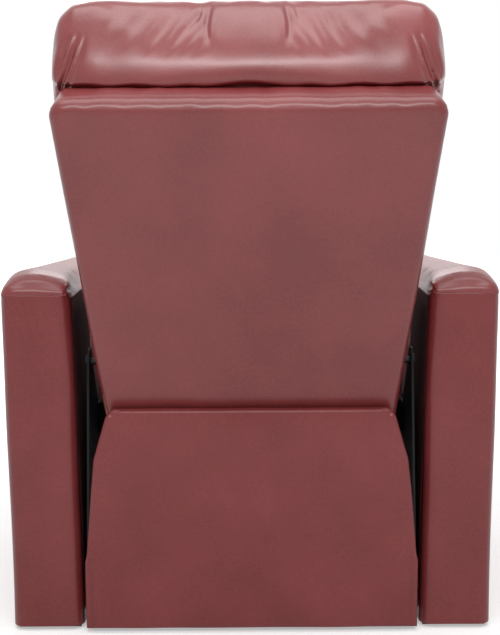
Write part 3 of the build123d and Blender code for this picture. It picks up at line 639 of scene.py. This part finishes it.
# The pillow: heights are above the pivot and before the lean, and x is from the middle.
PILLOW_VOXEL = 0.005
PILLOW_SLACK = 0.002
PILLOW_CAP = 0.026
PILLOW_SMOOTHING = 18
PILLOW_TOP = 0.628
PILLOW_CREASE = 0.490      # where the pillow meets the top of the back
PILLOW_BULGE = 0.013
PILLOW_LIFT = 0.009
PILLOW_RIPPLE = 0.0012
GATHER_AT = 0.063          # two vertical creases, this far from the middle
GATHER_LOW = 0.545
GATHER_DEPTH = 0.0044
FOLDS_IN = 0.060           # the slanting folds run between these places
FOLDS_OUT = 0.265
FOLDS_LOW = 0.535
FOLDS_HIGH = 0.616
FOLDS = ((0.034, 0.0034), (0.016, 0.0020))      # pitch and depth, the second near the gathers
PLEAT_FOOT = (0.302, 0.494)
PLEAT_HEAD = (0.272, 0.562)
PLEATS = ((0.0, 0.0095), (0.014, 0.0060), (-0.013, 0.0040))     # place outwards and depth
PLEAT_WIDTH = 0.0045
LOBES = ((0.0, 0.052, 0.0075), (0.098, 0.022, 0.0030),          # centre, width and height of
         (0.176, 0.036, 0.0045), (0.252, 0.024, 0.0030))        # each scallop of its foot


def fold_pillow(point, normal):
    """The gathers, slanting folds, corner pleats and scalloped foot of the pillow."""
    place = unlean(point)
    facing = Matrix.Rotation(BACK_LEAN, 3, "X") @ normal
    x, up = abs(place.x), place.z
    rear = ease(facing.y * 1.5 - 0.05)
    wobble = ripple(place, 16, 10, 14)
    patchy = 0.80 + 0.6 * noise.noise(Vector((place.x * 11 + 3, up * 16, 2.0)))
    near = fall(max(x - 0.09, 0), 0.09)
    reach = ease((x - FOLDS_IN) / 0.020) * ease((FOLDS_OUT - x) / 0.12)
    reach *= ease((up - FOLDS_LOW) / 0.06)
    reach *= ease((FOLDS_HIGH - up) / 0.035)
    depth = 0.0
    for (pitch, strength), share in zip(FOLDS, (1.0, near)):
        phase = (x * 0.80 + up * 0.66 + 0.010 * wobble) / pitch
        ridge = 0.5 + 0.5 * math.cos(2 * math.pi * phase)
        depth -= strength * share * reach * patchy * (1 - ridge) ** 1.8
    gather = ease((up - GATHER_LOW) / 0.04) * ease((PILLOW_TOP - up) / 0.02)
    line = x - GATHER_AT - 0.003 * math.sin(up * 90)
    depth -= GATHER_DEPTH * gather * fall(line, 0.0046)
    depth += 0.0020 * gather * fall(line + 0.011, 0.007)
    depth -= 0.0020 * gather * fall(line - 0.016, 0.004) * ease((up - 0.575) / 0.02)
    middle_band = ease((0.058 - x) / 0.02) * ease((up - 0.57) / 0.04)
    depth += 0.0007 * middle_band * math.sin(place.x * 190 + 2 * wobble)
    for shift, strength in PLEATS:
        gap, share = from_line(x - shift, up, PLEAT_FOOT, PLEAT_HEAD)
        ends = ease((share + 0.4) / 0.3) * ease((1.15 - share) / 0.6)
        depth -= strength * fall(gap, PLEAT_WIDTH) * ends
    depth += PILLOW_RIPPLE * ripple(place, 9, 9, 13) * ease((0.65 - up) / 0.05)
    lobe = sum(rise * fall(x - centre, width) for centre, width, rise in LOBES)
    foot = up - PILLOW_CREASE - lobe
    climb = foot - 0.024
    bulge = PILLOW_BULGE * ease(foot / 0.010) - 0.17 * (math.hypot(climb, 0.022) + climb)
    lift = PILLOW_LIFT * ease((up - 0.49) / 0.13)
    rearwards = ease((place.y + 0.11) / 0.11)
    profile = Vector((place.x * 0.012, bulge * rearwards, lift))
    return normal * depth * rear + Matrix.Rotation(-BACK_LEAN, 3, "X") @ profile


def make_pillow():
    piece = stuffed("headrest_pillow", "head_pillow", PILLOW_VOXEL, PILLOW_SLACK, PILLOW_CAP,
                    lambda point, normal: 1.0, PILLOW_SMOOTHING)
    round_off(piece)
    shape(piece, fold_pillow)
    dress(piece, finishes["cushion"], "backrest", "headrest_pillow")


# ---------------------------------------------------------------- arms
SEAM_FALL = 0.040          # how much lower an arm is at its front
ARM_CROWN = 0.037
ARM_LIP = 0.0022           # the case reaches this far over the seam
ARM_SPARE = 0.02           # of the block, above and below, that is trimmed off
ARM_VOXEL = 0.006
ARM_WALL = 0.003
ARM_RIPPLE = 0.0014
ARM_INSET = 0.0008
SEAM_PULL = 0.0002
SEAM_PUCKER = 0.0012
ARM_PAD_VOXEL = 0.005
ARM_PAD_CAP = 0.008
ARM_PAD_SMOOTHING = 3
PAD_TUCK = 0.0035          # the gathered corner's depth
PAD_SHOULDER = 0.0045      # fuller along its outer edge at the rear,
PAD_INNER_DROP = 0.0080    # and lower towards the seat
PAD_RIPPLE = 0.0010
LINING_FRONT = 0.10
LINING_LOW = 0.03
LINING_DROP = 0.006        # the lining ends this far below the seam
LINING_SLACK = 0.0006
ARM_EDGE = 0.022
ARM_BULGE = 0.005          # its outer side stands out by this much at the seam


def arm_inner_top(word):
    """How far from the middle an arm's inner side is at its top."""
    return min(abs(corner.x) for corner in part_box("arm_pad_" + word))


def make_arm(side, word):
    """An arm's leather case, cut off along the seam under its pad."""
    low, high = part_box("arm_cover_" + word)
    inner_low, outer = sorted((abs(low.x), abs(high.x)))
    inner_top = arm_inner_top(word)
    seam_drop = SEAM_FALL / (high.y - low.y)
    piece = block("arm_case_" + word, (inner_low, low.y, low.z - ARM_SPARE),
                  (outer, high.y, high.z + ARM_SPARE))
    bpy.ops.object.mode_set(mode="EDIT")
    choose(piece, "verts", lambda vert: vert.co.z > 0.3 and vert.co.x < (inner_low + outer) / 2)
    bpy.ops.transform.translate(value=(inner_top - inner_low, 0, 0))
    choose(piece, "edges", lambda edge: abs(edge.verts[0].co.z - edge.verts[1].co.z) > 0.3)
    bpy.ops.mesh.bevel(offset=ARM_EDGE, segments=6, affect="EDGES")
    bpy.ops.object.mode_set(mode="OBJECT")
    remesh(piece, ARM_VOXEL)
    trim(piece, ((0, high.y, high.z + ARM_LIP), (0, -seam_drop, 1)), ((0, 0, low.z), (0, 0, -1)))

    def settle(point, normal):
        under = high.z - seam_drop * (high.y - point.y) - point.z
        pucker = ripple(point, 60, 60, 14) * fall(under, 0.03)
        pull = SEAM_PULL * fall(under, 0.005)
        depth = ripple(point, 8, 8, 6) * ARM_RIPPLE - pull
        move = normal * (depth + pucker * SEAM_PUCKER - ARM_INSET)
        if normal.x > 0.3:
            move.x += ARM_BULGE * ease(point.z / high.z)
        return move

    shape(piece, settle)
    apply_modifier(piece, "SOLIDIFY", thickness=ARM_WALL, offset=-1.0)
    if side < 0:
        mirror(piece)
    dress(piece, finishes["low_leather"], "base", "arm_cover_" + word)


def make_arm_lining(side, word):
    """A lining on the arm's inner face beside the backrest, behind the leather's edge: its dark wine is painted
    shade, standing for the leather in shadow in that gap.
    """
    low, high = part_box("arm_cover_" + word)
    inner_low = min(abs(low.x), abs(high.x))
    inner_top = arm_inner_top(word)
    foot, head = LINING_LOW, high.z - LINING_DROP
    slope = (inner_top - inner_low) / (high.z - low.z)
    piece = block("arm_lining_" + word, (inner_low - 0.0014, LINING_FRONT, foot),
                  (inner_low - 0.0002, high.y - ARM_EDGE - 0.002, head))
    bpy.ops.object.mode_set(mode="EDIT")
    bpy.ops.mesh.select_all(action="SELECT")
    bpy.ops.mesh.subdivide(number_cuts=15)
    bpy.ops.object.mode_set(mode="OBJECT")

    def lie(point, normal):
        slack = LINING_SLACK * ripple(point, 0, 18, 12)
        return Vector((slope * (point.z - low.z) - (slack if normal.x < 0 else 0), 0, 0))

    shape(piece, lie)
    if side < 0:
        mirror(piece)
    # its dark wine colour is painted shade
    dress(piece, finishes["painted_shade_cloth"], "base")


def mirror(piece):
    """Turns a left piece into a right one, with its faces still outwards."""
    only(piece)
    bpy.ops.object.mode_set(mode="EDIT")
    bpy.ops.mesh.select_all(action="SELECT")
    bpy.ops.transform.mirror(constraint_axis=(True, False, False), center_override=(0, 0, 0))
    bpy.ops.mesh.flip_normals()
    bpy.ops.object.mode_set(mode="OBJECT")


def make_arm_pad(word):
    """An arm's domed top, gathered at its rear inner corner."""
    low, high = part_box("arm_pad_" + word)
    inner, outer = sorted((abs(low.x), abs(high.x)))

    def seam_height(y):
        return high.z - ARM_CROWN - SEAM_FALL * (high.y - y) / (high.y - low.y)

    def freedom(point, normal):
        return ease((point.z - seam_height(point.y) - 0.003) / 0.012)

    piece = stuffed("arm_pad_" + word, "arm_top_" + word, ARM_PAD_VOXEL, 0.0, ARM_PAD_CAP, freedom,
                    ARM_PAD_SMOOTHING)
    round_off(piece)
    seam_foot = (inner + 0.006, high.z - ARM_CROWN + 0.002)
    seam_head = (inner - 0.004, high.z - ARM_CROWN + 0.020)

    def gather(point, normal):
        x = abs(point.x)
        end = ease(1 - (high.y - 0.03 - point.y) / 0.05)
        gap, share = from_line(x, point.z, seam_foot, seam_head)
        depth = -PAD_TUCK * fall(gap, 0.0040) * ease((share + 0.3) / 0.3) * end
        move = normal * (depth + PAD_RIPPLE * ripple(point, 26, 20, 34) * end)
        above = point.z - seam_height(point.y)
        shoulder = ease(above / 0.012) * fall(x - outer + 0.012, 0.018)
        move += normal * PAD_SHOULDER * shoulder * ease((point.y - 0.12) / 0.16)
        outwards = ease(normal.x * math.copysign(1, point.x) * 2)
        move.x += math.copysign(ARM_BULGE, point.x) * outwards * ease((x - inner) / (outer - inner))
        move.z -= PAD_INNER_DROP * ease(above / 0.03) * ease((outer - 0.025 - x) / 0.06)
        move.z -= 0.0009 * ease(1 - above / 0.004)
        return move

    shape(piece, gather)
    dress(piece, finishes["upholstery"], "base", "arm_pad_" + word)


# ---------------------------------------------------------------- seat and footrest
LIFT_MARGIN = 0.025        # the footrest's pad stays slim from this far below its hinge
SEAT_VOXEL = 0.0065
SEAT_SLACK = 0.004
SEAT_CAP = 0.018
FOOTREST_VOXEL = 0.006
FOOTREST_SLACK = 0.003
FOOTREST_CAP = 0.012
HEM_WIDTH = 0.022
ACTUATOR_GAP_HALF = 0.032  # the seat's linings leave this much free for the actuator
CLOTH_WALL = 0.0009
CLOTH_SAG = 0.0045


def make_seat_pad():
    low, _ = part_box("seat_cushion")

    def freedom(point, normal):
        """None below, where it lies on its springs and over the footrest's swing."""
        return ease((point.z - low.z - 0.02) / 0.05) * ease((normal.z + 0.25) / 0.3)

    piece = stuffed("seat_cushion", "seat_pad", SEAT_VOXEL, SEAT_SLACK, SEAT_CAP, freedom)
    round_off(piece)
    dress(piece, finishes["cushion"], "base", "seat_cushion")


def make_footrest_pad():
    def freedom(point, normal):
        """None behind, on its board, or at its top, which swings under the seat."""
        under_nose = PIVOT_LIFT.z - LIFT_MARGIN - point.z
        return 0.6 * ease(under_nose / 0.05) if normal.y < 0.3 else 0.0

    piece = stuffed("footrest_pad", "leg_pad", FOOTREST_VOXEL, FOOTREST_SLACK, FOOTREST_CAP,
                    freedom)
    round_off(piece)
    dress(piece, finishes["cushion"], "footrest", "footrest_pad")


def make_footrest_board():
    """The footrest's board, wrapped in black lining with a turned hem on its rear face."""
    low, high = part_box("footrest_board")
    piece = block("wrapped_board", low, high)
    bpy.ops.object.mode_set(mode="EDIT")
    bpy.ops.mesh.select_all(action="SELECT")
    bpy.ops.mesh.bevel(offset=0.0022, segments=3, affect="EDGES")
    choose(piece, "faces", lambda face: face.normal.y > 0.9)
    bpy.ops.mesh.inset(thickness=HEM_WIDTH, depth=0)
    bpy.ops.mesh.inset(thickness=0.0012, depth=-0.0010)
    bpy.ops.mesh.subdivide(number_cuts=12)
    bpy.ops.object.mode_set(mode="OBJECT")
    inner = high.y - 0.0015

    def slacken(point, normal):
        return Vector((0, -0.0006 * abs(noise.noise(point * 24)) if point.y > inner else 0, 0))

    shape(piece, slacken)
    dress(piece, finishes["black_cloth"], "footrest", "footrest_board")


def make_seat_linings():
    """Black lining stapled across the rear of the seat frame, either side of the actuator."""
    low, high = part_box("seat_rear_rail")
    sides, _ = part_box("seat_side_rails")
    for side, word in ((1, "left"), (-1, "right")):
        inner, outer = sorted((side * ACTUATOR_GAP_HALF, side * (abs(sides.x) - 0.001)))
        piece = block("seat_lining_" + word, (inner, high.y + 0.0006, low.z + 0.001),
                      (outer, high.y + 0.0022, high.z - 0.001))
        bpy.ops.object.mode_set(mode="EDIT")
        choose(piece, "faces", lambda face: face.normal.y > 0.9)
        bpy.ops.mesh.subdivide(number_cuts=11)
        bpy.ops.object.mode_set(mode="OBJECT")
        rear = high.y + 0.0015
        shape(piece, lambda point, normal: Vector((0, 0.0012 * max(noise.noise(point * 30), 0)
                                                   if point.y > rear else 0, 0)))
        dress(piece, finishes["black_cloth"], "base")


def make_dust_cloth():
    """The black cloth stapled under the base, pulled tight with a shallow belly."""
    low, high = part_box("dust_cloth")
    bpy.ops.object.select_all(action="DESELECT")
    centre = (low + high) / 2
    bpy.ops.mesh.primitive_grid_add(x_subdivisions=90, y_subdivisions=110, size=1, location=centre)
    piece = bpy.context.object
    piece.name = "under_cloth"
    piece.scale = (high.x - low.x, high.y - low.y, 1)
    bpy.ops.object.transform_apply(location=True, rotation=True, scale=True)

    def belly(point, normal):
        edge = min(high.x - abs(point.x), point.y - low.y, high.y - point.y)
        sag = CLOTH_SAG * ease((edge - 0.03) / 0.12)
        pulls = 0.0008 * ripple(point, 45, 45, 0) * fall(edge - 0.04, 0.03)
        return Vector((0, 0, -sag + pulls * ease((edge - 0.026) / 0.01)))

    shape(piece, belly)
    apply_modifier(piece, "SOLIDIFY", thickness=CLOTH_WALL, offset=0.0)
    dress(piece, finishes["black_cloth"], "base", "dust_cloth")


# ---------------------------------------------------------------- base rear panel
PANEL_EDGE = [(0.128, 0.289), (0.140, 0.286), (0.245, 0.277), (0.310, 0.270), (0.365, 0.254),
              (0.385, 0.248), (0.397, 0.236)]      # heights and half widths above its lowest part
PANEL_BOARD = 0.0185       # the cover's sides reach this far forward, round its board
PANEL_ROLL = 0.005
PANEL_SEAM = 0.2775        # the narrow side strips start here, below the flare
PANEL_SEAM_HIGH = 0.134
PANEL_SWELL = 0.0035
PANEL_VOXEL = 0.0026
PANEL_WALL = 0.0023
PANEL_RIPPLE = 0.0009
TUCK_AT = (0.232, 0.393)   # a tucked fold runs down and out from each upper corner


def panel_half(up):
    """Half width of the base rear panel at a height."""
    last_up, last_half = 0.0, PANEL_EDGE[0][1]
    for height, half in PANEL_EDGE:
        if up <= height:
            return last_half + (half - last_half) * (up - last_up) / (height - last_up)
        last_up, last_half = height, half
    return last_half


def make_base_panel():
    """The leather panel behind the base: rolled rim, tucked corners, narrow side strips."""
    low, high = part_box("base_rear_cover")
    piece = block("base_panel", (-high.x, high.y - PANEL_BOARD, low.z), (high.x, high.y, high.z))
    bpy.ops.object.mode_set(mode="EDIT")
    for height, _ in PANEL_EDGE[:-1]:
        bpy.ops.mesh.select_all(action="SELECT")
        bpy.ops.mesh.bisect(plane_co=(0, 0, height), plane_no=(0, 0, 1))
    for height, half in PANEL_EDGE:
        choose(piece, "verts", lambda vert: abs(vert.co.z - height) < 0.001)
        bpy.ops.transform.resize(value=(half / high.x, 1, 1), center_override=(0, 0, height))
    choose(piece, "faces", lambda face: face.normal.y > 0.9)
    bpy.ops.mesh.region_to_loop()
    bpy.ops.mesh.bevel(offset=PANEL_ROLL, segments=4, affect="EDGES")
    bpy.ops.object.mode_set(mode="OBJECT")
    remesh(piece, PANEL_VOXEL)
    trim(piece, ((0, high.y - PANEL_BOARD + 0.0015, 0), (0, -1, 0)))
    apply_modifier(piece, "SMOOTH", factor=0.5, iterations=2)

    def press(point, normal):
        move = Vector()
        if normal.y > 0.4:
            across_share = abs(point.x) / panel_half(point.z)
            up_share = point.z / high.z
            full = max(1 - across_share ** 6, 0) * max(1 - abs(2 * up_share - 1) ** 8, 0)
            move.y += PANEL_SWELL * full
            if point.z < PANEL_SEAM_HIGH:
                move.y -= 0.0032 * fall(abs(point.x) - PANEL_SEAM, 0.0022)
            corner = Vector((abs(point.x) - TUCK_AT[0], point.z - TUCK_AT[1]))
            along = corner.x * 0.83 - corner.y * 0.56
            aside = corner.x * 0.56 + corner.y * 0.83
            if along < 0.01:
                tuck = fall(aside, 0.0028) * fall(min(along + 0.012, 0), 0.014)
                move.y -= 0.0028 * tuck
        return move + normal * ripple(point, 11, 9, 7) * PANEL_RIPPLE

    shape(piece, press)
    apply_modifier(piece, "SOLIDIFY", thickness=PANEL_WALL, offset=-1.0)
    dress(piece, finishes["low_leather"], "base", "base_rear_cover")


# ---------------------------------------------------------------- floor and light
ROOM_LIGHT = 0.22
FLOOR_SIZE = 14.0
SHADOW_GLOW = (0.42, 0.42, 0.42)       # of the floor by the seat, so that a shadow shows there
WHITE = (1.0, 1.0, 1.0)
LAMPS = (                              # name, place, what it lights, size and watts
    ("overhead", (0.0, 0.7, 3.1), (0, 0.35, 0.8), (2.8, 1.4), 40),
    ("high_rear", (0.0, 3.2, 2.8), (0, 0.35, 0.9), (2.6, 0.24), 60),
    ("front", (0.0, -2.6, 2.6), (0, 0, 0.5), (2.2, 1.4), 30),
)


def seen_rays(tree):
    """1 for camera, glossy and transmission rays, and 0 for the light that falls on things."""
    paths = tree.nodes.new("ShaderNodeLightPath")
    camera, glossy, through = [Value(tree, paths.outputs[name]) for name in
                               ("Is Camera Ray", "Is Glossy Ray", "Is Transmission Ray")]
    return camera + glossy + through


def add_floor():
    """A white floor: it keeps the seat's shadow nearby and fades into the white beyond."""
    bpy.ops.object.select_all(action="DESELECT")
    bpy.ops.mesh.primitive_plane_add(size=FLOOR_SIZE, location=(0, 0, 0))
    floor = bpy.context.object
    floor.name = "studio_floor"
    finish = Finish("white_floor")
    tone = finish.ramp(finish.noise(3.0), [(0.3, (0.80, 0.80, 0.80)), (0.7, (0.82, 0.82, 0.82))])
    reach = finish.node("ShaderNodeVectorMath", {"operation": "LENGTH"}, {0: finish.places},
                        "Value")
    glow = finish.ramp(reach * 0.25, [(0.18, SHADOW_GLOW), (0.55, WHITE)])
    shown = finish.blend(seen_rays(finish.tree), (0, 0, 0), glow)
    finish.set(Base_Color=tone, Roughness=0.9, Emission_Color=shown)
    finish.surface.inputs["Emission Strength"].default_value = 1.0
    floor.data.materials.append(finish.material)


def add_world():
    """Plain dim white for what falls on the seat, and full white for what is seen."""
    world = bpy.data.worlds.new("studio")
    world.use_nodes = True
    tree = world.node_tree
    room = tree.nodes["Background"]
    room.inputs["Color"].default_value = (*WHITE, 1)
    room.inputs["Strength"].default_value = ROOM_LIGHT
    white = tree.nodes.new("ShaderNodeBackground")
    white.inputs["Color"].default_value = (*WHITE, 1)
    both = tree.nodes.new("ShaderNodeMixShader")
    tree.links.new(seen_rays(tree).socket, both.inputs["Fac"])
    tree.links.new(room.outputs["Background"], both.inputs[1])
    tree.links.new(white.outputs["Background"], both.inputs[2])
    tree.links.new(both.outputs["Shader"], tree.nodes["World Output"].inputs["Surface"])
    bpy.context.scene.world = world


def add_stage():
    """White all round, lit from a box overhead, a long strip high behind, and the front."""
    add_floor()
    add_world()
    bpy.context.scene.view_settings.view_transform = "Standard"
    for lamp in LAMPS:
        add_area_light(*lamp)


finish_cad_nodes()
make_back_cover()
make_back_under_cloths()
make_back_platform()
make_back_pads()
make_pillow()
for side, word in ((1, "left"), (-1, "right")):
    make_arm(side, word)
    make_arm_lining(side, word)
    make_arm_pad(word)
make_seat_pad()
make_seat_linings()
make_footrest_pad()
make_footrest_board()
make_dust_cloth()
make_base_panel()
add_camera()
add_stage()
